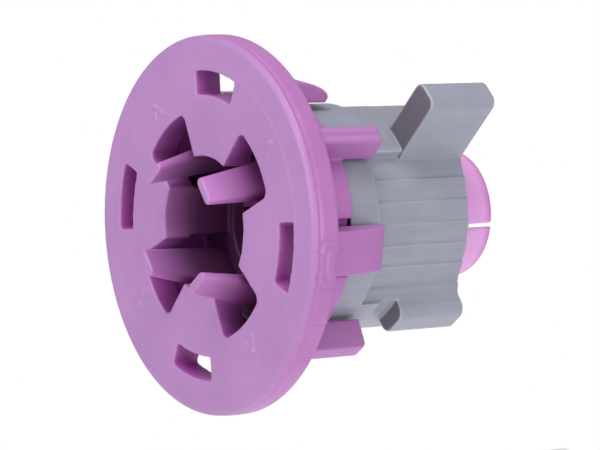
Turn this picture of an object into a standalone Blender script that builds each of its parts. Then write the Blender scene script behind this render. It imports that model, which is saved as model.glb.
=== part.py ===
"""Through-stud pipe insulator: a flanged body with grip fingers and snap legs, and a twist-lock ring.

Units are metres. The pipe runs along +Y. The origin is on the pipe's axis, in the rear face of the
flange, which is the face that lies against the stud. Angles are measured in the XZ plane, from +X
towards +Z.
"""

import math

import bmesh
import bpy
from mathutils import Matrix, Vector

# Flange
FLANGE_RADIUS = 0.0250
FLANGE_THICKNESS = 0.0040
RIM_FRONT_ROUND = 0.0008
RIM_REAR_CHAMFER = 0.0004

# Central opening: lobes that guide the pipe, and windows that the grip fingers pass through
LOBE_RADIUS = 0.0092
WINDOW_INNER_HALF_WIDTH = 0.0037
WINDOW_OUTER_HALF_WIDTH = 0.0049
WINDOW_CORNER_ROUND = 0.0006
WINDOW_INSET = 0.0002
WINDOW_RUN_IN = 0.0018
GUIDE_WALL = 0.0010
GUIDE_SET_BACK = 0.0001
GUIDE_SIDE_MARGIN = 0.0002

# Hub behind the flange: a tube closed by a web with the pipe's bore
HUB_INNER = 0.0154
HUB_WALL = 0.0013
HUB_LENGTH = 0.0082
WEB_THICKNESS = 0.0018
BORE_RADIUS = 0.0082

# Ribs that centre the hub in the hole of the stud
RIB_HEIGHT = 0.0039
RIB_WIDTH = 0.0025
RIB_LENGTH = 0.0135
RIB_END_SLANT = 0.0006
RIB_CHAMFER = 0.0005

# Snap legs
LEG_WIDTH = 0.0059
LEG_SIDE_GAP = 0.0008
LEG_POCKET_WALL = 0.0007
LEG_POCKET_RIM = 0.0010
LEG_ROOT_THICKNESS = 0.0017
LEG_LENGTH = 0.0125
LEG_SET_BACK = 0.0011
LEG_NOSE_THICKNESS = 0.0007
LEG_HOOK_DEPTH = 0.0025
LEG_HOOK_START = 0.0034
LEG_HOOK_STEPS = 8

# Arc slots through the flange, one in front of each snap leg
SLOT_ROOT_MARGIN = 0.0001
SLOT_HOOK_MARGIN = 0.0007
SLOT_HALF_ANGLE = math.radians(13.0)

# Grip fingers
FINGER_REACH = 0.0085
FINGER_TIP_RADIUS = 0.0078
FINGER_TIP_WIDTH = 0.0040
FINGER_TIP_THICKNESS = 0.0013
FINGER_ROOT_GAP = 0.0021
FINGER_ROOT_WIDTH = 0.0066
FINGER_ROOT_THICKNESS = 0.0027

# Collet petals around the pipe
PETAL_WALL = 0.0011
PETAL_TAPER = 0.0005
PETAL_CHAMFER = 0.0004
PETAL_END = 0.0378
SLIT_WIDTH = 0.0006

# Twist-lock ring: a collar, a body that is lower than the collar, two levers and two finger scoops
COLLAR_GAP = 0.0007
COLLAR_LENGTH = 0.0048
COLLAR_STEP = 0.0006
COLLAR_RAMP_SET_BACK = 0.0028
COLLAR_RAMP_LENGTH = 0.0013
RING_END = 0.0300
RING_WALL = 0.0016
CAM_WIDTH = 0.0024
SHELF_RISE = 0.00005
SHELF_ANGLE = math.radians(62.0)
SHELF_FADE_ANGLE = math.radians(86.0)

# Finger scoop beside each lever
SCOOP_START = math.radians(46.0)
SCOOP_FLOOR = math.radians(8.0)
SCOOP_END = math.radians(-34.5)
SCOOP_START_DEPTH = 0.0007
SCOOP_FLOOR_DEPTH = 0.0017
SCOOP_END_DEPTH = 0.0001
SCOOP_START_POWER = 2
SCOOP_END_POWER = 7
SERRATION_STEP = 0.00028
SERRATION_COUNT = 6
SERRATION_END = math.radians(-30.0)
SERRATION_TOOTH = ((0.0, 0.0), (0.5, 0.5), (0.93, 1.0))

# Stub at the far end of each scoop
STUB_ANGLE = math.radians(-44.0)
STUB_HEIGHT = 0.0024
STUB_WIDTH = 0.0050
STUB_ROUND = 0.0015

# Levers
LEVER_ANGLE = math.radians(53.0)
LEVER_RADIUS = 0.0248
LEVER_THICKNESS = 0.0043
LEVER_ROUND = 0.0012
LEVER_LENGTH = 0.0106

# Fits and resolution
GAP = 0.0003
RING_CLEARANCE = 0.0004
OVERLAP = 0.0004
CIRCLE_STEPS = 96
ROUND_STEPS = 4
SHORT_ARC_STEPS = 10
QUARTER = math.radians(90.0)
QUARTERS = 4

# Radii that follow from the hub
HUB_OUTER = HUB_INNER + HUB_WALL
RIB_INNER = HUB_OUTER - OVERLAP
RIB_OUTER = HUB_OUTER + RIB_HEIGHT
LEG_INNER = HUB_INNER + LEG_SET_BACK
LEG_ROOT_OUTER = HUB_INNER + LEG_ROOT_THICKNESS
LEG_HOOK_RADIUS = LEG_ROOT_OUTER + LEG_HOOK_DEPTH
LEG_NOSE_RADIUS = LEG_INNER + LEG_NOSE_THICKNESS
SLOT_INNER = LEG_ROOT_OUTER + SLOT_ROOT_MARGIN
SLOT_OUTER = LEG_HOOK_RADIUS + SLOT_HOOK_MARGIN
FINGER_ROOT_RADIUS = HUB_INNER - FINGER_ROOT_GAP - FINGER_ROOT_THICKNESS
COLLAR_RADIUS = RIB_INNER - COLLAR_GAP
RING_RADIUS = COLLAR_RADIUS - COLLAR_STEP
SCOOP_START_RADIUS = RING_RADIUS - SCOOP_START_DEPTH
SCOOP_FLOOR_RADIUS = RING_RADIUS - SCOOP_FLOOR_DEPTH
SCOOP_END_RADIUS = RING_RADIUS - SCOOP_END_DEPTH
STUB_RADIUS = RING_RADIUS + STUB_HEIGHT

PLASTIC_ROUGHNESS = 0.45
SHARP_ANGLE = math.radians(30.0)
PURPLE = (0.42, 0.20, 0.48)
PINK = (0.62, 0.25, 0.60)
GREY = (0.34, 0.35, 0.41)


# ---------------------------------------------------------------- scene and materials


def clear_scene():
    for item in list(bpy.data.objects):
        bpy.data.objects.remove(item, do_unlink=True)


def new_collection(name):
    made = bpy.data.collections.new(name)
    bpy.context.scene.collection.children.link(made)
    return made


def plastic(name, colour, roughness):
    made = bpy.data.materials.new(name)
    made.use_nodes = True
    shader = made.node_tree.nodes["Principled BSDF"]
    shader.inputs["Base Color"].default_value = (*colour, 1.0)
    shader.inputs["Roughness"].default_value = roughness
    shader.inputs["Metallic"].default_value = 0.0
    return made


def finish_part(solid, colour, hinge=None):
    """Give a part its modelled mesh, material and smooth shading, and hang it on its joint's axis."""
    PARTS.objects.link(solid)
    bpy.context.view_layer.update()
    evaluated = solid.evaluated_get(bpy.context.evaluated_depsgraph_get())
    solid.data = bpy.data.meshes.new_from_object(evaluated)
    solid.modifiers.clear()
    solid.data.materials.clear()
    solid.data.materials.append(plastic(solid.name + "_plastic", colour, PLASTIC_ROUGHNESS))
    solid.data.shade_smooth()
    solid.data.set_sharp_from_angle(angle=SHARP_ANGLE)
    if hinge is not None:
        pivot = bpy.data.objects.new(solid.name + "_pivot", None)
        pivot.empty_display_size = FLANGE_THICKNESS / 2
        pivot.location = hinge
        PARTS.objects.link(pivot)
        solid.parent = pivot
        solid.matrix_parent_inverse = Matrix.Translation(-Vector(hinge))


# ---------------------------------------------------------------- outlines


def polar(radius, angle):
    return (radius * math.cos(angle), radius * math.sin(angle))


def arc(radius, start, end, steps):
    return [polar(radius, start + (end - start) * i / steps) for i in range(steps + 1)]


def circle(radius):
    return arc(radius, 0.0, 2 * math.pi, CIRCLE_STEPS)[:-1]


def round_corner(centre, radius, start, end):
    return [(centre[0] + x, centre[1] + y) for x, y in arc(radius, start, end, ROUND_STEPS)]


def turned(outline, angle):
    """An outline around the axis, turned by an angle."""
    cosine = math.cos(angle)
    sine = math.sin(angle)
    return [(x * cosine - y * sine, x * sine + y * cosine) for x, y in outline]


def window_outline():
    """A window, wider outwards, from inside the central opening to just inside the hub's wall."""
    outer = HUB_INNER - WINDOW_INSET
    corner = math.asin(WINDOW_OUTER_HALF_WIDTH / outer)
    inset = math.asin(WINDOW_CORNER_ROUND / outer)
    inner = LOBE_RADIUS - WINDOW_RUN_IN
    taper = (WINDOW_OUTER_HALF_WIDTH - WINDOW_INNER_HALF_WIDTH) / (outer - LOBE_RADIUS)
    inner_half = WINDOW_INNER_HALF_WIDTH - taper * (LOBE_RADIUS - inner)
    shoulder = outer * math.cos(corner) - WINDOW_CORNER_ROUND
    shoulder_half = WINDOW_OUTER_HALF_WIDTH - taper * WINDOW_CORNER_ROUND
    outer_arc = arc(outer, -corner + inset, corner - inset, SHORT_ARC_STEPS)
    return [(inner, -inner_half), (shoulder, -shoulder_half), *outer_arc, (shoulder, shoulder_half),
            (inner, inner_half)]


def slot_outline():
    outer_arc = arc(SLOT_OUTER, -SLOT_HALF_ANGLE, SLOT_HALF_ANGLE, SHORT_ARC_STEPS)
    inner_arc = arc(SLOT_INNER, SLOT_HALF_ANGLE, -SLOT_HALF_ANGLE, SHORT_ARC_STEPS)
    return outer_arc + inner_arc


def guide_outline():
    """The wall behind a lobe, which carries the lobe's inner face back to the web."""
    window_half_angle = math.asin(WINDOW_INNER_HALF_WIDTH / LOBE_RADIUS)
    half_angle = QUARTER / 2 - window_half_angle - GUIDE_SIDE_MARGIN / LOBE_RADIUS
    inner = LOBE_RADIUS + GUIDE_SET_BACK
    outer_arc = arc(inner + GUIDE_WALL, -half_angle, half_angle, SHORT_ARC_STEPS)
    return outer_arc + arc(inner, half_angle, -half_angle, SHORT_ARC_STEPS)


def pocket_outline():
    """The hub's wall where it is thicker, so that the pocket of a snap leg doesn't open into the hub."""
    half_angle = (LEG_WIDTH / 2 + LEG_SIDE_GAP + LEG_POCKET_RIM) / HUB_INNER
    inner = HUB_INNER - GAP - LEG_POCKET_WALL
    outer_arc = arc(HUB_INNER + OVERLAP, -half_angle, half_angle, SHORT_ARC_STEPS)
    return outer_arc + arc(inner, half_angle, -half_angle, SHORT_ARC_STEPS)


def rib_outline():
    """(radius, y) of a rib: buried a little in the flange and in the hub's wall."""
    end_at_chamfer = RIB_LENGTH - RIB_END_SLANT
    return [
        (RIB_INNER, -OVERLAP),
        (RIB_OUTER, -OVERLAP),
        (RIB_OUTER, end_at_chamfer - RIB_CHAMFER),
        (RIB_OUTER - RIB_CHAMFER, end_at_chamfer),
        (RIB_INNER, RIB_LENGTH),
    ]


def leg_outline():
    """(radius, y) of a snap leg: a root, an arm, and a hook whose back falls in a quarter ellipse."""
    crest = LEG_HOOK_START + LEG_ROOT_THICKNESS / 2
    hook = []
    for i in range(LEG_HOOK_STEPS + 1):
        turn = QUARTER * i / LEG_HOOK_STEPS
        radius = LEG_NOSE_RADIUS + (LEG_HOOK_RADIUS - LEG_NOSE_RADIUS) * math.cos(turn)
        hook.append((radius, crest + (LEG_LENGTH - crest) * math.sin(turn)))
    return [
        (HUB_INNER, GAP),
        (LEG_ROOT_OUTER, GAP),
        (LEG_ROOT_OUTER, LEG_HOOK_START),
        (LEG_HOOK_RADIUS, LEG_HOOK_START),
        *hook,
        (LEG_INNER, LEG_LENGTH - OVERLAP),
        (LEG_INNER, LEG_HOOK_START + LEG_ROOT_THICKNESS),
        (HUB_INNER, LEG_HOOK_START),
    ]


def body_radius(angle):
    """Radius of the ring's body, alike each half turn: just above the collar on the shelf, then fading."""
    shelf = COLLAR_RADIUS + SHELF_RISE
    within = (angle - SCOOP_END) % math.pi + SCOOP_END
    if within < SCOOP_FLOOR:
        return RING_RADIUS
    if within < SHELF_ANGLE:
        return shelf
    share = max(0.0, (SHELF_FADE_ANGLE - within) / (SHELF_FADE_ANGLE - SHELF_ANGLE))
    return RING_RADIUS + (shelf - RING_RADIUS) * share**2 * (3.0 - 2.0 * share)


def ring_outline():
    turns = [2 * math.pi * i / CIRCLE_STEPS for i in range(CIRCLE_STEPS)]
    return [polar(body_radius(angle), angle) for angle in turns]


def scoop_radius(angle):
    """Radius of the finger scoop's floor: it rises slowly to the shelf and fast to the stub."""
    if angle > SCOOP_FLOOR:
        rise = (angle - SCOOP_FLOOR) / (SCOOP_START - SCOOP_FLOOR)
        height = SCOOP_START_RADIUS - SCOOP_FLOOR_RADIUS
        return SCOOP_FLOOR_RADIUS + height * rise**SCOOP_START_POWER
    rise = (SCOOP_FLOOR - angle) / (SCOOP_FLOOR - SCOOP_END)
    return SCOOP_FLOOR_RADIUS + (SCOOP_END_RADIUS - SCOOP_FLOOR_RADIUS) * rise**SCOOP_END_POWER


def scoop_outline():
    """What the scoop takes away. Each tooth of its floor falls inwards, then steps out."""
    floor = []
    tooth = (SCOOP_START - SERRATION_END) / SERRATION_COUNT
    for i in range(SERRATION_COUNT):
        top = SCOOP_START - tooth * i
        for part_way, depth in SERRATION_TOOTH:
            angle = top - tooth * part_way
            floor.append(polar(scoop_radius(angle) - SERRATION_STEP * depth, angle))
    for i in range(SHORT_ARC_STEPS + 1):
        angle = SERRATION_END + (SCOOP_END - SERRATION_END) * i / SHORT_ARC_STEPS
        floor.append(polar(scoop_radius(angle), angle))
    return floor + arc(COLLAR_RADIUS + 2 * OVERLAP, SCOOP_END, SCOOP_START, CIRCLE_STEPS // QUARTERS)


def stub_outline():
    """(radius, tangential) of a stub, with round outer corners."""
    half = STUB_WIDTH / 2
    inner = SCOOP_FLOOR_RADIUS - RING_WALL / 2
    shoulder = STUB_RADIUS - STUB_ROUND
    return [
        (inner, -half),
        *round_corner((shoulder, -half + STUB_ROUND), STUB_ROUND, -QUARTER, 0.0),
        *round_corner((shoulder, half - STUB_ROUND), STUB_ROUND, 0.0, QUARTER),
        (inner, half),
    ]


def lever_outline():
    half = LEVER_THICKNESS / 2
    tip = LEVER_RADIUS - LEVER_ROUND
    return [
        (SCOOP_FLOOR_RADIUS - RING_WALL / 2, -half),
        *round_corner((tip, -half + LEVER_ROUND), LEVER_ROUND, -QUARTER, 0.0),
        *round_corner((tip, half - LEVER_ROUND), LEVER_ROUND, 0.0, QUARTER),
        (SCOOP_FLOOR_RADIUS - RING_WALL / 2, half),
    ]


# ---------------------------------------------------------------- solids


def plate(name, outlines, thickness, place):
    """A closed plate from flat outlines, the later ones holes, centred on its own plane."""
    curve = bpy.data.curves.new(name + "_outline", "CURVE")
    curve.dimensions = "2D"
    curve.fill_mode = "BOTH"
    curve.extrude = thickness / 2
    for outline in outlines:
        spline = curve.splines.new("POLY")
        spline.points.add(len(outline) - 1)
        for point, (x, y) in zip(spline.points, outline):
            point.co = (x, y, 0.0, 1.0)
        spline.use_cyclic_u = True
    flat = bpy.data.objects.new(name + "_outline", curve)
    bpy.context.scene.collection.objects.link(flat)
    flat.matrix_world = place
    bpy.context.view_layer.update()
    evaluated = flat.evaluated_get(bpy.context.evaluated_depsgraph_get())
    mesh = bpy.data.meshes.new_from_object(evaluated)
    solid = bpy.data.objects.new(name, mesh)
    solid.matrix_world = flat.matrix_world
    bpy.data.objects.remove(flat, do_unlink=True)
    shell = bmesh.new()
    shell.from_mesh(mesh)
    bmesh.ops.remove_doubles(shell, verts=shell.verts, dist=1e-7)
    bmesh.ops.recalc_face_normals(shell, faces=shell.faces)
    shell.to_mesh(mesh)
    shell.free()
    return solid


def across(name, outlines, front, rear):
    """A plate across the axis, between two places along it."""
    place = Matrix.Translation((0.0, (front + rear) / 2, 0.0)) @ Matrix.Rotation(QUARTER, 4, "X")
    return plate(name, outlines, rear - front, place)


def radial(name, outline, width, angle):
    """A plate in the plane through the axis at an angle, from an outline of (radius, y)."""
    return plate(name, [outline], width, Matrix.Rotation(-angle, 4, "Y"))


def lathe(name, profile):
    """A closed (radius, y) profile turned about the axis. Its outer side runs from rear to front."""
    mesh = bpy.data.meshes.new(name)
    edges = [(i, (i + 1) % len(profile)) for i in range(len(profile))]
    mesh.from_pydata([(radius, y, 0.0) for radius, y in profile], edges, [])
    solid = bpy.data.objects.new(name, mesh)
    screw = solid.modifiers.new("Turn", "SCREW")
    screw.axis = "Y"
    screw.steps = CIRCLE_STEPS
    screw.render_steps = CIRCLE_STEPS
    screw.use_merge_vertices = True
    screw.merge_threshold = 1e-6
    return solid


def tapered_bar(name, front, rear, angle):
    """A bar along the axis between two sections of (y, inner radius, thickness, width)."""
    mesh = bpy.data.meshes.new(name)
    shell = bmesh.new()
    bmesh.ops.create_cube(shell, size=1.0)
    for corner in shell.verts:
        y, inner, thickness, width = rear if corner.co.y > 0.0 else front
        corner.co = (inner + (corner.co.x + 0.5) * thickness, y, corner.co.z * width)
    shell.to_mesh(mesh)
    shell.free()
    solid = bpy.data.objects.new(name, mesh)
    solid.matrix_world = Matrix.Rotation(-angle, 4, "Y")
    return solid


def combine(solid, operation, other):
    """Join, cut or keep the shared part of a solid and another, which becomes a hidden guide."""
    CUTTERS.objects.link(other)
    other.hide_render = True
    other.display_type = "WIRE"
    change = solid.modifiers.new(operation.title() + "_" + other.name, "BOOLEAN")
    change.operation = operation
    change.solver = "EXACT"
    change.object = other


def hinge_point(radius, y, angle):
    x, z = polar(radius, angle)
    return (x, y, z)


# ---------------------------------------------------------------- the parts


def flange_body():
    front = -FLANGE_THICKNESS
    web_front = HUB_LENGTH - WEB_THICKNESS
    rim = round_corner(
        (FLANGE_RADIUS - RIM_FRONT_ROUND, front + RIM_FRONT_ROUND), RIM_FRONT_ROUND, 0.0, -QUARTER
    )
    body = lathe("flange_body", [
        (LOBE_RADIUS, 0.0),
        (HUB_INNER, 0.0),
        (HUB_INNER, web_front),
        (BORE_RADIUS, web_front),
        (BORE_RADIUS, HUB_LENGTH),
        (HUB_OUTER, HUB_LENGTH),
        (HUB_OUTER, 0.0),
        (FLANGE_RADIUS - RIM_REAR_CHAMFER, 0.0),
        (FLANGE_RADIUS, -RIM_REAR_CHAMFER),
        *rim,
        (LOBE_RADIUS, front),
    ])
    through = (front - OVERLAP, OVERLAP)
    for k in range(QUARTERS):
        leg_angle = QUARTER * k
        rib_angle = leg_angle + QUARTER / 2
        slot = across(f"slot_cutter_{k + 1}", [turned(slot_outline(), leg_angle)], *through)
        combine(body, "DIFFERENCE", slot)
        window = across(f"window_cutter_{k + 1}", [turned(window_outline(), rib_angle)], *through)
        combine(body, "DIFFERENCE", window)
        for name, outline in ("guide", guide_outline()), ("pocket", pocket_outline()):
            wall = [turned(outline, leg_angle)]
            combine(body, "UNION", across(f"{name}_{k + 1}", wall, -OVERLAP, web_front + OVERLAP))
        pocket = [
            (HUB_INNER - GAP, -GAP / 2),
            (HUB_OUTER + OVERLAP, -GAP / 2),
            (HUB_OUTER + OVERLAP, HUB_LENGTH + OVERLAP),
            (HUB_INNER - GAP, HUB_LENGTH + OVERLAP),
        ]
        pocket_width = LEG_WIDTH + 2 * LEG_SIDE_GAP
        combine(body, "DIFFERENCE", radial(f"pocket_cutter_{k + 1}", pocket, pocket_width, leg_angle))
        combine(body, "UNION", radial(f"rib_{k + 1}", rib_outline(), RIB_WIDTH, rib_angle))
    finish_part(body, PURPLE)


def snap_leg(k):
    angle = QUARTER * k
    leg = radial(f"snap_leg_{k + 1}", leg_outline(), LEG_WIDTH, angle)
    finish_part(leg, PURPLE, hinge_point((HUB_INNER + LEG_ROOT_OUTER) / 2, GAP, angle))


def grip_finger(k):
    angle = QUARTER * (k + 0.5)
    root_y = HUB_LENGTH - WEB_THICKNESS - GAP
    tip = (-FINGER_REACH, FINGER_TIP_RADIUS, FINGER_TIP_THICKNESS, FINGER_TIP_WIDTH)
    root = (root_y, FINGER_ROOT_RADIUS, FINGER_ROOT_THICKNESS, FINGER_ROOT_WIDTH)
    finger = tapered_bar(f"grip_finger_{k + 1}", tip, root, angle)
    root_middle = FINGER_ROOT_RADIUS + FINGER_ROOT_THICKNESS / 2
    finish_part(finger, PURPLE, hinge_point(root_middle, root_y, angle))


def collet_petal(k):
    front = HUB_LENGTH + GAP
    outer = BORE_RADIUS + PETAL_WALL
    petal = lathe(f"collet_petal_{k + 1}", [
        (BORE_RADIUS, front),
        (BORE_RADIUS, PETAL_END),
        (outer - PETAL_TAPER - PETAL_CHAMFER, PETAL_END),
        (outer - PETAL_TAPER, PETAL_END - 2 * PETAL_CHAMFER),
        (outer, RING_END - RING_WALL),
        (outer, front),
    ])
    half_slit = SLIT_WIDTH / 2
    far = 2 * outer
    quadrant = [(half_slit, half_slit), (far, half_slit), (far, far), (half_slit, far)]
    quadrant = [turned(quadrant, QUARTER * k)]
    keep = across(f"quadrant_{k + 1}", quadrant, front - OVERLAP, PETAL_END + OVERLAP)
    combine(petal, "INTERSECT", keep)
    finish_part(petal, PINK, hinge_point(BORE_RADIUS + PETAL_WALL / 2, front, QUARTER * (k + 0.5)))


def locking_ring():
    collar_front = HUB_LENGTH + RING_CLEARANCE
    scoop_front = collar_front + COLLAR_LENGTH
    bore = BORE_RADIUS + PETAL_WALL + RING_CLEARANCE
    cavity = SCOOP_FLOOR_RADIUS - RING_WALL
    wall_front = RING_END - RING_WALL
    lever_front = RING_END - LEVER_LENGTH
    ramp_foot = RING_RADIUS - OVERLAP
    ramp_front = scoop_front + COLLAR_RAMP_SET_BACK
    ramp_foot_y = ramp_front + COLLAR_RAMP_LENGTH * (1.0 + OVERLAP / COLLAR_STEP)
    past_end = RING_END + 2 * OVERLAP
    ring = across("locking_ring", [ring_outline()], scoop_front + OVERLAP, RING_END + OVERLAP)
    combine(ring, "UNION", lathe("collar", [
        (bore - OVERLAP, collar_front),
        (bore - OVERLAP, ramp_foot_y),
        (ramp_foot, ramp_foot_y),
        (COLLAR_RADIUS, ramp_front),
        (COLLAR_RADIUS, collar_front),
    ]))
    for k in range(2):
        half_turn = math.pi * k
        scoop = [turned(scoop_outline(), half_turn)]
        cutter = across(f"scoop_cutter_{k + 1}", scoop, scoop_front, past_end)
        combine(ring, "DIFFERENCE", cutter)
        lever = turned(lever_outline(), LEVER_ANGLE + half_turn)
        combine(ring, "UNION", across(f"lever_{k + 1}", [lever], lever_front, past_end))
        stub = turned(stub_outline(), STUB_ANGLE + half_turn)
        combine(ring, "UNION", across(f"stub_{k + 1}", [stub], lever_front, past_end))
    end_cutter = across("ring_end", [circle(LEVER_RADIUS + OVERLAP)], RING_END, past_end + OVERLAP)
    combine(ring, "DIFFERENCE", end_cutter)
    hollow = across("ring_hollow", [circle(cavity)], collar_front - OVERLAP, wall_front)
    combine(ring, "DIFFERENCE", hollow)
    for k in range(QUARTERS):
        cam = [
            (bore - OVERLAP, scoop_front),
            (cavity + OVERLAP, scoop_front),
            (cavity + OVERLAP, wall_front + OVERLAP),
            (bore - OVERLAP, wall_front + OVERLAP),
        ]
        combine(ring, "UNION", radial(f"cam_{k + 1}", cam, CAM_WIDTH, QUARTER * k))
    bore_cutter = across("ring_bore", [circle(bore)], collar_front - OVERLAP, past_end)
    combine(ring, "DIFFERENCE", bore_cutter)
    finish_part(ring, GREY, (0.0, collar_front, 0.0))


clear_scene()
PARTS = new_collection("pipe_insulator")
CUTTERS = new_collection("cutters")

flange_body()
for quarter in range(QUARTERS):
    snap_leg(quarter)
    grip_finger(quarter)
    collet_petal(quarter)
locking_ring()
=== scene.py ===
"""Looks of the through-stud pipe insulator: moulded surfaces, plastics, camera and light.

Lengths are metres and angles radians. The pipe's axis is Y, and the flange's front face looks
towards -Y. Every piece starts from the CAD node that it stands for.
"""

import math

import bmesh
import bpy
import numpy as np
from mathutils import Matrix, Vector


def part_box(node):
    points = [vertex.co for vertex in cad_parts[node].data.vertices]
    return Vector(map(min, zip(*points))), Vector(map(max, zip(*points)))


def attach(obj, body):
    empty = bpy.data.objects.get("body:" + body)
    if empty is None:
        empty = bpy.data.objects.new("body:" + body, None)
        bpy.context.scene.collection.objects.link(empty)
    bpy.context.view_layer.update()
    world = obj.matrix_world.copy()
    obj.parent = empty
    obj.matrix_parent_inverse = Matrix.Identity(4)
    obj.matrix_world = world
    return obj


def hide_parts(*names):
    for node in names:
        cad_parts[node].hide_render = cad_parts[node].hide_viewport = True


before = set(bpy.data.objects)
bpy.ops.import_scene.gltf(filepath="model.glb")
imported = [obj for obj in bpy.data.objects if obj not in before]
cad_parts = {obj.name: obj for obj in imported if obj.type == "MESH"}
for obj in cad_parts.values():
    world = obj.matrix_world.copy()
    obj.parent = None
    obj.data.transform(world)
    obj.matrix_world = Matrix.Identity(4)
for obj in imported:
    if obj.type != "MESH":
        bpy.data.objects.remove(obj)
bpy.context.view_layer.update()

MM = 0.001

# Legs, fingers, petals and chevrons, each repeated this many times around the axis
QUARTERS = 4

# Places that are read off the CAD
FLANGE_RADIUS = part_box("flange_body")[1].x
FRONT_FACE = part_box("flange_body")[0].y
HUB_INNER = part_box("snap_leg_1")[0].x
FINGER_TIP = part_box("grip_finger_1")[0].y
PETAL_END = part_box("collet_petal_1")[1].y
RING_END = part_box("locking_ring")[1].y

# How squarely a normal has to face away from the axis or forwards: nothing happens at the first share of it,
# and all of it at the second
TURNED_FACING = (0.8, 0.95)
RIM_FACING = (0.5, 0.9)
FRONT_FACING = (0.6, 0.95)

# Moulded surfaces: the grain of the meshes, and the rounds of smoothing that their edges get
BODY_GRAIN = 0.20 * MM
BODY_ROUNDING = 10
RING_GRAIN = 0.17 * MM
RING_ROUNDING = 3
LIMB_GRAIN = 0.15 * MM
LIMB_ROUNDING = 8
PETAL_GRAIN = 0.18 * MM
PETAL_ROUNDING = 3
SMOOTH_FACTOR = 0.5

# The CAD's turned surfaces have this many facets, and its corners meet this closely
FACETS = 96
WELD = 0.001 * MM

# How far a limb's root runs into the body that it grows from
ROOT_REACH = 0.7 * MM

# Marks on the flange's front face: a round step, and a chevron at each rib. A vertex belongs to the face
# down to the depth of FACE_SKIN
STEP_RADIUS = FLANGE_RADIUS - 4.3 * MM
STEP_WIDTH = 0.4 * MM
STEP_DEPTH = 0.07 * MM
CHEVRON_ANGLE = math.radians(45.0)
CHEVRON_TIP = FLANGE_RADIUS - 5.7 * MM
CHEVRON_BARB = FLANGE_RADIUS - 7.7 * MM
CHEVRON_HALF_WIDTH = 1.0 * MM
CHEVRON_LINE = 0.24 * MM
CHEVRON_HEIGHT = 0.18 * MM
FACE_SKIN = 0.5 * MM

# Marks on the flange's rim: a crease, and the outlines of a gate mark and a second, lower mark, each in a
# hollow that fades out between two distances. A box holds the place of its middle along the axis, half its
# length around the rim, half its width and its corners' radius. A vertex belongs to the rim down to RIM_SKIN
CREASE_PLACE = FRONT_FACE + 0.95 * MM
CREASE_DEPTH = 0.16 * MM
CREASE_LINE = 0.26 * MM
RIM_SKIN = 1.0 * MM
MARK_HEIGHT = 0.15 * MM
MARK_LINE = 0.18 * MM
MARK_HOLLOW = (0.3 * MM, 1.0 * MM)
GATE_ANGLE = math.radians(0.4)
GATE_PAD = (-1.25 * MM, 2.7 * MM, 1.05 * MM, 0.6 * MM)
GATE_BULGE = (-2.1 * MM, 1.5 * MM, 1.1 * MM, 0.4 * MM)
GATE_PANEL = (-1.2 * MM, 1.7 * MM, 0.55 * MM, 0.15 * MM)
GATE_PANEL_EDGE = (-0.1 * MM, 0.15 * MM)
SECOND_ANGLE = math.radians(-25.0)
SECOND_PAD = (-1.3 * MM, 2.6 * MM, 0.95 * MM, 0.5 * MM)
SECOND_SHARE = 0.6

# Fingers: chamfers on the edges along the axis, and a round at the tip. An edge is chamfered when this share
# of it runs along the axis and its faces bend by this angle. Facets within FLAT_ANGLE are one flat face
FINGER_CHAMFER = 0.75 * MM
FINGER_TIP_ROUND = 0.45 * MM
LENGTHWISE_SHARE = 0.9
FINGER_EDGE_ANGLE = math.radians(30.0)
FLAT_ANGLE = math.radians(1.0)

# Plastics: how far a wall reaches with the painted shade that darkens the plastic beside it, the range that
# most of a noise lies in, the weight of the slow wave against the grain, and what turns the sleeve's noise
# into a small step either way
PAINTED_SHADE_REACH = 8.0 * MM
PLASTIC_IOR = 1.49
NOISE_MIDDLE = (0.35, 0.65)
WAVE_SHARE = 3.0
SLEEVE_DRIFT = 0.35
SLEEVE_DRIFT_OFFSET = -0.17

# Where painted shade deepens the purple down the opening, within a radius, and where the sleeve deepens to
# its two ends (partly painted shade, partly the sleeve's own deeper tone)
HUB_SHADE_DEPTHS = (FRONT_FACE + 0.2 * MM, 1.5 * MM)
HUB_SHADE_RADIUS = HUB_INNER
FINGER_SHADE_DEPTHS = (FINGER_TIP + 0.5 * MM, 0.0)
FINGER_SHADE_RADIUS = HUB_INNER + 0.6 * MM
SHADE_RADIUS_BLEND = 0.8 * MM
SLEEVE_RIM = (PETAL_END - 1.6 * MM, PETAL_END - 0.2 * MM)
SLEEVE_ROOT = (RING_END + 2.5 * MM, RING_END + 0.5 * MM)

# Camera: its turns about the object, its place, its lens and sensor in millimetres, and its near limit
CAMERA_AZIMUTH = math.radians(54.39)
CAMERA_ELEVATION = math.radians(4.59)
CAMERA_ROLL = math.radians(-8.0)
CAMERA_DISTANCE = 389.3 * MM
CAMERA_RIGHT = 12.71 * MM
CAMERA_UP = 0.13 * MM
CAMERA_FORWARD = -4.0 * MM
CAMERA_LENS = 178.5
CAMERA_SENSOR = 36.0
CAMERA_NEAR = 10.0 * MM

# Stage: the floor, the world's strength as a light and to the camera, and lamps that face the middle.
# A lamp has its name, its direction, its distance, its width and its power in watts
FLOOR_SIZE = 1.2
FLOOR_DEPTH = 0.25
FLOOR_GLOW = 0.3
SKY_LIGHT = 0.4
SKY_SEEN = 1.0
LAMPS = (
    ("key", (0.2, -0.45, 1.0), 0.45, 0.30, 1.2),
    ("side", (1.0, -0.1, 0.1), 0.50, 0.35, 1.0),
    ("front", (-0.3, -1.0, 0.25), 0.50, 0.35, 1.0),
)
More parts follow.
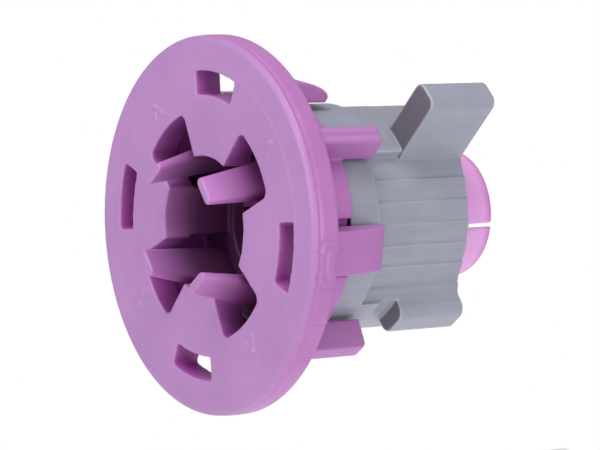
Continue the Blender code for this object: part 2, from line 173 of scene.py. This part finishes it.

# Linear colours
# Faces along the axis: the plastic's violet with painted reflection, partly their finer texture
FACE_VIOLET_SHEEN = (0.40, 0.20, 0.45)
PINK_VIOLET = (0.46, 0.178, 0.475)
# Painted highlight on the purple's convex edges
EDGE_HIGHLIGHT_PINK = (0.62, 0.34, 0.64)
# Painted shade in the purple's recesses
RECESS_SHADE_PURPLE = (0.33, 0.045, 0.31)
# Painted shade down the opening and towards the fingers' roots
BORE_SHADE_PURPLE = (0.07, 0.016, 0.064)
# The sleeve's lighter middle, partly painted light
SLEEVE_LIGHT = (0.80, 0.39, 0.77)
# The sleeve's deeper ends, partly painted shade and partly the plastic's own tone
SLEEVE_DEEP = (0.60, 0.17, 0.50)
GREY = (0.315, 0.325, 0.405)
# Painted shade on the grey faces across the axis
GREY_END_FACE_SHADE = (0.165, 0.15, 0.185)
# Painted highlight on the grey's convex edges
GREY_EDGE_HIGHLIGHT = (0.50, 0.51, 0.57)
# Painted shade in the grey's recesses
GREY_RECESS_SHADE = (0.085, 0.075, 0.09)
FLOOR_WHITE = (0.90, 0.90, 0.90)
FLOOR_WHITER = (0.94, 0.94, 0.94)
WHITE = (1.0, 1.0, 1.0)


# ---------------------------------------------------------------- meshes


def new_piece(name, mesh):
    """An object in the scene with this mesh."""
    piece = bpy.data.objects.new(name, mesh)
    bpy.context.scene.collection.objects.link(piece)
    return piece


def shape_of(node):
    """A CAD node's shape as a new welded mesh."""
    shell = bmesh.new()
    shell.from_mesh(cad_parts[node].data)
    bmesh.ops.remove_doubles(shell, verts=shell.verts, dist=WELD)
    shell.verts.index_update()
    places = [vertex.co.copy() for vertex in shell.verts]
    faces = [[vertex.index for vertex in face.verts] for face in shell.faces]
    shell.free()
    plain = bpy.data.meshes.new(node + "_shape")
    plain.from_pydata(places, [], faces)
    return plain


def reach(mesh, towards, distance):
    """Move a mesh's end face along the axis, up or down it as towards is 1 or -1."""
    heights = [vertex.co.y for vertex in mesh.vertices]
    end = max(heights) if towards > 0 else min(heights)
    for vertex in mesh.vertices:
        if abs(vertex.co.y - end) < WELD:
            vertex.co.y += towards * distance


def moulded(piece, grain, rounding):
    """Give a piece an even, fine surface whose edges are rounded as a mould leaves them."""
    guide = new_piece(piece.name + "_guide", piece.data.copy())
    remesh = piece.modifiers.new("Grain", "REMESH")
    remesh.mode = "VOXEL"
    remesh.voxel_size = grain
    wrap = piece.modifiers.new("True_faces", "SHRINKWRAP")
    wrap.wrap_method = "NEAREST_SURFACEPOINT"
    wrap.target = guide
    smooth = piece.modifiers.new("Rounding", "SMOOTH")
    smooth.factor = SMOOTH_FACTOR
    smooth.iterations = rounding
    bpy.context.view_layer.update()
    evaluated = piece.evaluated_get(bpy.context.evaluated_depsgraph_get())
    piece.data = bpy.data.meshes.new_from_object(evaluated)
    piece.modifiers.clear()
    bpy.data.objects.remove(guide, do_unlink=True)
    turn_true(piece.data)
    piece.data.shade_smooth()


def surface(mesh):
    """The places and the normals of a mesh's vertices, one row each."""
    places = np.empty(len(mesh.vertices) * 3, np.float32)
    normals = np.empty(len(mesh.vertices) * 3, np.float32)
    mesh.vertices.foreach_get("co", places)
    mesh.vertex_normals.foreach_get("vector", normals)
    return places.reshape(-1, 3).astype(float), normals.reshape(-1, 3).astype(float)


def put(mesh, places):
    """Move a mesh's vertices to these places."""
    mesh.vertices.foreach_set("co", places.astype(np.float32).ravel())
    mesh.update()


def turn_true(mesh):
    """Bring the flat facets of turned surfaces out to their true round."""
    places, normals = surface(mesh)
    outward = outward_share(places, normals)[0]
    facet = 2.0 * math.pi / FACETS
    angle = np.arctan2(places[:, 2], places[:, 0])
    off_middle = (angle / facet - np.floor(angle / facet) - 0.5) * facet
    grow = np.cos(off_middle) / math.cos(facet / 2) - 1.0
    factor = 1.0 + grow * ramp(np.abs(outward), *TURNED_FACING)
    put(mesh, places * np.stack((factor, np.ones_like(factor), factor), axis=1))


def ramp(value, start, end):
    """Rises smoothly from 0 at start to 1 at end."""
    share = np.clip((value - start) / (end - start), 0.0, 1.0)
    return share * share * (3.0 - 2.0 * share)


def line(distance, width):
    """The height of a soft line: 1 on it, and falling away on both sides."""
    return np.exp(-((distance / width) ** 2))


def outward_share(places, normals):
    """How far each normal points straight away from the axis, and each vertex's distance from the axis."""
    radius = np.maximum(np.hypot(places[:, 0], places[:, 2]), WELD)
    return (normals[:, 0] * places[:, 0] + normals[:, 2] * places[:, 2]) / radius, radius


def rounded_box(around, axial, box):
    """Signed distance to a rounded rectangle on the rim."""
    middle, half_around, half_axial, corner = box
    dx = np.abs(around) - half_around + corner
    dy = np.abs(axial - middle) - half_axial + corner
    outside = np.hypot(np.maximum(dx, 0.0), np.maximum(dy, 0.0))
    return outside + np.minimum(np.maximum(dx, dy), 0.0) - corner


def segment(x, y, start, end):
    """Distance to the straight stretch between two points."""
    dx = end[0] - start[0]
    dy = end[1] - start[1]
    share = np.clip(((x - start[0]) * dx + (y - start[1]) * dy) / (dx * dx + dy * dy), 0.0, 1.0)
    return np.hypot(x - start[0] - share * dx, y - start[1] - share * dy)


# ---------------------------------------------------------------- materials


def add(tree, kind, inputs=None, **settings):
    """A shader node with its settings, and its input values or links by name."""
    made = tree.nodes.new(kind)
    for key, value in settings.items():
        setattr(made, key, value)
    for key, value in (inputs or {}).items():
        if isinstance(value, bpy.types.NodeSocket):
            tree.links.new(value, made.inputs[key])
        else:
            made.inputs[key].default_value = value
    return made


def colour_mix(tree, factor, first, second):
    """The first colour at factor 0 and the second at 1, each a colour or another node's output."""
    made = add(tree, "ShaderNodeMix", data_type="RGBA")
    for socket, value in zip((made.inputs[0], made.inputs[6], made.inputs[7]), (factor, first, second)):
        if isinstance(value, bpy.types.NodeSocket):
            tree.links.new(value, socket)
        elif isinstance(value, tuple):
            socket.default_value = (*value, 1.0)
        else:
            socket.default_value = value
    return made.outputs[2]


def between(tree, value, low, high, to_low=0.0, to_high=1.0):
    """A value's way from low to high, turned into a way from to_low to to_high and held at both ends."""
    made = add(tree, "ShaderNodeMapRange", {"Value": value, "From Min": low, "From Max": high,
                                            "To Min": to_low, "To Max": to_high})
    return made.outputs["Result"]


def noise(tree, vector, scale, detail=2.0, roughness=0.5):
    """Soft noise around 0.5, with about this many waves to the millimetre."""
    made = add(tree, "ShaderNodeTexNoise",
               {"Vector": vector, "Scale": scale, "Detail": detail, "Roughness": roughness})
    return made.outputs["Fac"]


def millimetres(tree, stretch=(1.0, 1.0, 1.0)):
    """The piece's own coordinates in millimetres, stretched along each axis."""
    place = add(tree, "ShaderNodeTexCoord")
    scale = tuple(part / MM for part in stretch)
    scaled = add(tree, "ShaderNodeMapping", {"Vector": place.outputs["Object"], "Scale": scale})
    return scaled.outputs["Vector"]


def in_mm(lengths):
    """Lengths in millimetres, as the materials' coordinates are."""
    return tuple(length / MM for length in lengths)


def start_material(name):
    """A new material, its node tree and its shader."""
    made = bpy.data.materials.new(name)
    made.use_nodes = True
    return made, made.node_tree, made.node_tree.nodes["Principled BSDF"]


def sideways(tree):
    """0 on faces that look along the axis, 1 on those that look away from it."""
    place = add(tree, "ShaderNodeTexCoord")
    parts = add(tree, "ShaderNodeSeparateXYZ", {"Vector": place.outputs["Normal"]})
    level = add(tree, "ShaderNodeMath", {0: parts.outputs["Y"]}, operation="ABSOLUTE")
    return between(tree, level.outputs["Value"], low=0.95, high=0.45)


def painted_recess_shade(tree, base, colour, low, high, share):
    """The base colour, giving way to another by this share as the occlusion goes from low to high: painted
    shade in recesses.
    """
    shelter = add(tree, "ShaderNodeAmbientOcclusion", {"Distance": PAINTED_SHADE_REACH}, samples=8)
    return colour_mix(tree, between(tree, shelter.outputs["AO"], low, high, to_high=share), base, colour)


def painted_edge_highlight(tree, base, colour, low, high, share):
    """The base colour, giving way to a painted highlight colour by this share as the pointiness goes from
    low to high.
    """
    bend = add(tree, "ShaderNodeNewGeometry").outputs["Pointiness"]
    return colour_mix(tree, between(tree, bend, low, high, to_high=share), base, colour)


def tinted(tree, factor, colour, spread):
    """A colour that wanders a little darker and lighter with the factor."""
    darker = tuple((1.0 - spread) * part for part in colour)
    lighter = tuple((1.0 + spread) * part for part in colour)
    return colour_mix(tree, factor, darker, lighter)


def soften(shader, weight, radius, depth):
    """Let light spread under a plastic's surface, and set its refractive index."""
    shader.inputs["Subsurface Weight"].default_value = weight
    shader.inputs["Subsurface Radius"].default_value = radius
    shader.inputs["Subsurface Scale"].default_value = depth
    shader.inputs["IOR"].default_value = PLASTIC_IOR


def plastic_relief(tree, shader, vector, low, high, bump):
    """The fine grain of moulded plastic: uneven gloss and a very shallow bump."""
    cloud = noise(tree, vector, scale=0.9, detail=4.0)
    gloss = between(tree, cloud, *NOISE_MIDDLE, to_low=low, to_high=high)
    tree.links.new(gloss, shader.inputs["Roughness"])
    grain = noise(tree, vector, scale=7.0, detail=5.0, roughness=0.6)
    wave = noise(tree, vector, scale=0.5, detail=1.0)
    height = add(tree, "ShaderNodeMath", {0: wave, 1: WAVE_SHARE, 2: grain}, operation="MULTIPLY_ADD")
    relief = add(tree, "ShaderNodeBump", {"Height": height.outputs["Value"], "Strength": 1.0,
                                          "Distance": bump})
    tree.links.new(relief.outputs["Normal"], shader.inputs["Normal"])


def purple_plastic(name, shade_depths, radius, edge_highlight_share):
    """Tinted satin plastic: pinker on its sides; paler violet on faces along the axis, partly their finer
    texture and partly painted reflection; with painted highlights on its edges and painted shade in recesses
    and down the opening.
    """
    made, tree, shader = start_material(name)
    vector = millimetres(tree)
    drift = between(tree, noise(tree, vector, scale=0.10, detail=3.0), *NOISE_MIDDLE)
    # Faces along the axis are paler violet: partly their finer texture, partly painted reflection of the
    # bright surroundings
    face = tinted(tree, drift, FACE_VIOLET_SHEEN, spread=0.04)
    side = tinted(tree, drift, PINK_VIOLET, spread=0.04)
    base = colour_mix(tree, sideways(tree), face, side)
    # Painted highlight: lighter pink on convex edges
    edge_highlighted = painted_edge_highlight(tree, base, EDGE_HIGHLIGHT_PINK, low=0.52, high=0.57, share=edge_highlight_share)
    # Painted shade: the purple deepens where walls close in
    recess_shaded = painted_recess_shade(tree, edge_highlighted, RECESS_SHADE_PURPLE, low=0.85, high=0.15, share=1.0)
    # Painted shade: the purple darkens down the opening, within a radius, and towards the fingers' roots
    parts = add(tree, "ShaderNodeSeparateXYZ", {"Vector": vector})
    shade_inwards = between(tree, parts.outputs["Y"], *in_mm(shade_depths), to_high=0.85)
    across = add(tree, "ShaderNodeCombineXYZ", {"X": parts.outputs["X"], "Z": parts.outputs["Z"]})
    out = add(tree, "ShaderNodeVectorMath", {0: across.outputs["Vector"]}, operation="LENGTH")
    shade_within = between(tree, out.outputs["Value"], *in_mm((radius, radius - SHADE_RADIUS_BLEND)))
    depth = add(tree, "ShaderNodeMath", {0: shade_inwards, 1: shade_within}, operation="MULTIPLY")
    bore_shaded = colour_mix(tree, depth.outputs["Value"], recess_shaded, BORE_SHADE_PURPLE)
    tree.links.new(bore_shaded, shader.inputs["Base Color"])
    soften(shader, weight=0.15, radius=(1.0, 0.5, 1.0), depth=0.8 * MM)
    plastic_relief(tree, shader, vector, low=0.34, high=0.44, bump=0.004 * MM)
    return made


def sleeve_plastic():
    """Thin, softer plastic that glows: lighter along its middle and deeper pink at its rear rim and where it
    leaves the ring, partly the plastic's own tone and partly painted light and shade.
    """
    made, tree, shader = start_material("sleeve_plastic")
    vector = millimetres(tree)
    parts = add(tree, "ShaderNodeSeparateXYZ", {"Vector": vector})
    rim = between(tree, parts.outputs["Y"], *in_mm(SLEEVE_RIM))
    root = between(tree, parts.outputs["Y"], *in_mm(SLEEVE_ROOT))
    ends = add(tree, "ShaderNodeMath", {0: rim, 1: root}, operation="MAXIMUM").outputs["Value"]
    drift = noise(tree, vector, scale=0.25, detail=3.0)
    cloud = add(tree, "ShaderNodeMath", {0: drift, 1: SLEEVE_DRIFT, 2: SLEEVE_DRIFT_OFFSET},
                operation="MULTIPLY_ADD")
    factor = add(tree, "ShaderNodeMath", {0: ends, 1: cloud.outputs["Value"]},
                 operation="ADD", use_clamp=True)
    # Lighter middle and deeper ends: partly painted light and shade, partly the plastic's own tone
    base = colour_mix(tree, factor.outputs["Value"], SLEEVE_LIGHT, SLEEVE_DEEP)
    tree.links.new(base, shader.inputs["Base Color"])
    soften(shader, weight=0.8, radius=(1.0, 0.5, 0.9), depth=2.5 * MM)
    plastic_relief(tree, shader, vector, low=0.36, high=0.48, bump=0.004 * MM)
    return made


def grey_plastic():
    """Opaque satin plastic with faint streaks along the axis; painted shade makes it darker and warmer on
    the faces across it and in recesses, and painted highlights lighten its edges.
    """
    made, tree, shader = start_material("grey_plastic")
    vector = millimetres(tree)
    lengthwise = millimetres(tree, stretch=(2.2, 0.10, 2.2))
    streaks = noise(tree, lengthwise, scale=1.0, detail=4.0, roughness=0.6)
    cloud = noise(tree, vector, scale=0.20, detail=3.0)
    half = add(tree, "ShaderNodeMath", {0: streaks, 1: 0.5}, operation="MULTIPLY").outputs["Value"]
    both = add(tree, "ShaderNodeMath", {0: cloud, 1: 0.5, 2: half}, operation="MULTIPLY_ADD")
    drift = between(tree, both.outputs["Value"], low=0.38, high=0.62)
    side = tinted(tree, drift, GREY, spread=0.06)
    # Painted shade: faces across the axis, like the levers' front faces, are darker and warmer
    base = colour_mix(tree, sideways(tree), GREY_END_FACE_SHADE, side)
    # Painted highlight: lighter grey on convex edges
    edge_highlighted = painted_edge_highlight(tree, base, GREY_EDGE_HIGHLIGHT, low=0.515, high=0.56, share=0.7)
    # Painted shade: the grey darkens where walls close in
    recess_shaded = painted_recess_shade(tree, edge_highlighted, GREY_RECESS_SHADE, low=0.65, high=0.10, share=0.9)
    tree.links.new(recess_shaded, shader.inputs["Base Color"])
    soften(shader, weight=0.1, radius=(1.0, 1.0, 1.0), depth=0.4 * MM)
    plastic_relief(tree, shader, vector, low=0.33, high=0.46, bump=0.005 * MM)
    return made


def stage_white():
    """The matt floor, which glows a little."""
    made, tree, shader = start_material("stage_white")
    speck = noise(tree, millimetres(tree), scale=0.01)
    shade = colour_mix(tree, speck, FLOOR_WHITE, FLOOR_WHITER)
    tree.links.new(shade, shader.inputs["Base Color"])
    shader.inputs["Emission Color"].default_value = (*WHITE, 1.0)
    shader.inputs["Emission Strength"].default_value = FLOOR_GLOW
    shader.inputs["Roughness"].default_value = 1.0
    return made


# ---------------------------------------------------------------- pieces


def mark_outline(distance):
    """A raised line at distance 0, in a hollow as deep as the line is high, so that it ends flush."""
    return line(distance, MARK_LINE) + ramp(distance, *MARK_HOLLOW) - 1.0


def rim_marks(places, normals):
    """The height of the marks on the flange's rim: a crease behind its round front edge, and two marks."""
    outward, radius = outward_share(places, normals)
    rim_radius = radius.max()
    on_rim = ramp(outward, *RIM_FACING) * (radius > rim_radius - RIM_SKIN)
    angle = np.arctan2(places[:, 2], places[:, 0])
    axial = places[:, 1]
    height = -CREASE_DEPTH * line(axial - CREASE_PLACE, CREASE_LINE)
    around = rim_radius * (angle - GATE_ANGLE)
    gate = np.minimum(rounded_box(around, axial, GATE_PAD), rounded_box(around, axial, GATE_BULGE))
    panel = rounded_box(around, axial, GATE_PANEL)
    height += MARK_HEIGHT * (mark_outline(gate) + 1.0 - ramp(panel, *GATE_PANEL_EDGE))
    second = rounded_box(rim_radius * (angle - SECOND_ANGLE), axial, SECOND_PAD)
    height += SECOND_SHARE * MARK_HEIGHT * mark_outline(second)
    return height * on_rim


def face_marks(places, normals):
    """The height of the marks on the flange's front face: a round step, and a chevron at each rib."""
    radius = np.hypot(places[:, 0], places[:, 2])
    on_face = ramp(-normals[:, 1], *FRONT_FACING) * (places[:, 1] < FRONT_FACE + FACE_SKIN)
    height = -STEP_DEPTH * ramp(radius, STEP_RADIUS, STEP_RADIUS + STEP_WIDTH)
    for k in range(QUARTERS):
        turn = CHEVRON_ANGLE + 2.0 * math.pi * k / QUARTERS
        out = places[:, 0] * math.cos(turn) + places[:, 2] * math.sin(turn)
        sideways_by = -places[:, 0] * math.sin(turn) + places[:, 2] * math.cos(turn)
        for side in (-1.0, 1.0):
            tip = (CHEVRON_TIP, 0.0)
            barb = (CHEVRON_BARB, side * CHEVRON_HALF_WIDTH)
            height += CHEVRON_HEIGHT * line(segment(out, sideways_by, tip, barb), CHEVRON_LINE)
    return height * on_face


def flange_piece():
    """The flange's moulding, with its marks."""
    piece = new_piece("flange_moulding", shape_of("flange_body"))
    moulded(piece, BODY_GRAIN, BODY_ROUNDING)
    places, normals = surface(piece.data)
    height = rim_marks(places, normals) + face_marks(places, normals)
    put(piece.data, places + normals * height[:, None])
    finish_piece(piece, "flange_body", "body", PURPLE_PLASTIC)


def leg_piece(k):
    """One snap leg, with its root run into the flange's moulding."""
    shape = shape_of(f"snap_leg_{k}")
    reach(shape, -1, ROOT_REACH)
    piece = new_piece(f"leg_moulding_{k}", shape)
    moulded(piece, LIMB_GRAIN, LIMB_ROUNDING)
    finish_piece(piece, f"snap_leg_{k}", f"leg_{k}", PURPLE_PLASTIC)


def finger_piece(k):
    """One grip finger, with its root run into the web."""
    shape = shape_of(f"grip_finger_{k}")
    reach(shape, 1, ROOT_REACH)
    chamfer_finger(shape)
    piece = new_piece(f"finger_moulding_{k}", shape)
    moulded(piece, LIMB_GRAIN, LIMB_ROUNDING)
    finish_piece(piece, f"grip_finger_{k}", f"finger_{k}", FINGER_PLASTIC)


def petal_piece(k):
    """One quarter of the split sleeve, with its root run into the web."""
    shape = shape_of(f"collet_petal_{k}")
    reach(shape, -1, ROOT_REACH)
    piece = new_piece(f"petal_moulding_{k}", shape)
    moulded(piece, PETAL_GRAIN, PETAL_ROUNDING)
    finish_piece(piece, f"collet_petal_{k}", f"petal_{k}", SLEEVE_PLASTIC)


def chamfer_finger(mesh):
    """Chamfer a finger's edges along the axis, and round its tip."""
    shell = bmesh.new()
    shell.from_mesh(mesh)
    bmesh.ops.dissolve_limit(shell, angle_limit=FLAT_ANGLE, verts=shell.verts, edges=shell.edges)
    lengthwise = []
    for edge in shell.edges:
        span = edge.verts[1].co - edge.verts[0].co
        if abs(span.y) > LENGTHWISE_SHARE * span.length and edge.calc_face_angle(0.0) > FINGER_EDGE_ANGLE:
            lengthwise.append(edge)
    bmesh.ops.bevel(shell, geom=lengthwise, offset=FINGER_CHAMFER, segments=2, profile=0.5,
                    affect="EDGES", clamp_overlap=True)
    tip = min(vertex.co.y for vertex in shell.verts) + WELD
    at_tip = [edge for edge in shell.edges if all(vertex.co.y < tip for vertex in edge.verts)]
    bmesh.ops.bevel(shell, geom=at_tip, offset=FINGER_TIP_ROUND, segments=3, profile=0.5,
                    affect="EDGES", clamp_overlap=True)
    shell.to_mesh(mesh)
    shell.free()


def ring_piece():
    """The grey ring, with its levers and scoops."""
    piece = new_piece("ring_moulding", shape_of("locking_ring"))
    moulded(piece, RING_GRAIN, RING_ROUNDING)
    finish_piece(piece, "locking_ring", "ring", GREY_PLASTIC)


def finish_piece(piece, node, body, material):
    """Give a piece its material, hide the CAD node that it stands for, and attach it to the body that it
    rides.
    """
    piece.data.materials.clear()
    piece.data.materials.append(material)
    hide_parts(node)
    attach(piece, body)


# ---------------------------------------------------------------- stage


def add_camera():
    """The camera: placed by azimuth and elevation, then turned about the pipe's axis and moved along it."""
    level = math.cos(CAMERA_ELEVATION)
    back = Vector((math.sin(CAMERA_AZIMUTH) * level, -math.cos(CAMERA_AZIMUTH) * level,
                   math.sin(CAMERA_ELEVATION)))
    right = Vector((math.cos(CAMERA_AZIMUTH), math.sin(CAMERA_AZIMUTH), 0.0))
    up = back.cross(right)
    place = back * CAMERA_DISTANCE + right * CAMERA_RIGHT + up * CAMERA_UP
    roll = Matrix.Rotation(CAMERA_ROLL, 3, "Y")
    turn = Matrix((roll @ right, roll @ up, roll @ back)).transposed()
    data = bpy.data.cameras.new("camera")
    data.lens = CAMERA_LENS
    data.sensor_width = CAMERA_SENSOR
    data.clip_start = CAMERA_NEAR
    camera = bpy.data.objects.new("camera", data)
    camera.matrix_world = (
        Matrix.Translation(roll @ place + Vector((0.0, CAMERA_FORWARD, 0.0))) @ turn.to_4x4()
    )
    bpy.context.scene.collection.objects.link(camera)
    bpy.context.scene.camera = camera


def add_lamp(name, direction, distance, width, power):
    """A round white lamp in this direction from the middle, which it faces."""
    data = bpy.data.lights.new(name, "AREA")
    data.shape = "DISK"
    data.size = width
    data.energy = power
    light = bpy.data.objects.new(name, data)
    towards = Vector(direction).normalized()
    light.location = towards * distance
    light.rotation_mode = "QUATERNION"
    light.rotation_quaternion = (-towards).to_track_quat("-Z", "Y")
    bpy.context.scene.collection.objects.link(light)


def add_stage():
    """The floor, the world and the lamps."""
    bpy.ops.mesh.primitive_grid_add(
        x_subdivisions=8, y_subdivisions=8, size=FLOOR_SIZE, location=(0.0, 0.0, -FLOOR_DEPTH)
    )
    floor = bpy.context.object
    floor.name = "floor"
    floor.data.materials.append(stage_white())
    world = bpy.data.worlds.new("studio")
    world.use_nodes = True
    background = world.node_tree.nodes["Background"]
    background.inputs["Color"].default_value = (*WHITE, 1.0)
    path = add(world.node_tree, "ShaderNodeLightPath")
    strength = between(world.node_tree, path.outputs["Is Camera Ray"], 0.0, 1.0, SKY_LIGHT, SKY_SEEN)
    world.node_tree.links.new(strength, background.inputs["Strength"])
    bpy.context.scene.world = world
    for lamp in LAMPS:
        add_lamp(*lamp)


bpy.context.scene.view_settings.view_transform = "Standard"

# Painted edge highlight: a share of it on the body and legs, none on the fingers
PURPLE_PLASTIC = purple_plastic("purple_plastic", HUB_SHADE_DEPTHS, HUB_SHADE_RADIUS, edge_highlight_share=0.22)
FINGER_PLASTIC = purple_plastic("finger_plastic", FINGER_SHADE_DEPTHS, FINGER_SHADE_RADIUS, edge_highlight_share=0.0)
SLEEVE_PLASTIC = sleeve_plastic()
GREY_PLASTIC = grey_plastic()

flange_piece()
for limb in range(1, QUARTERS + 1):
    leg_piece(limb)
    finger_piece(limb)
    petal_piece(limb)
ring_piece()
add_camera()
add_stage()
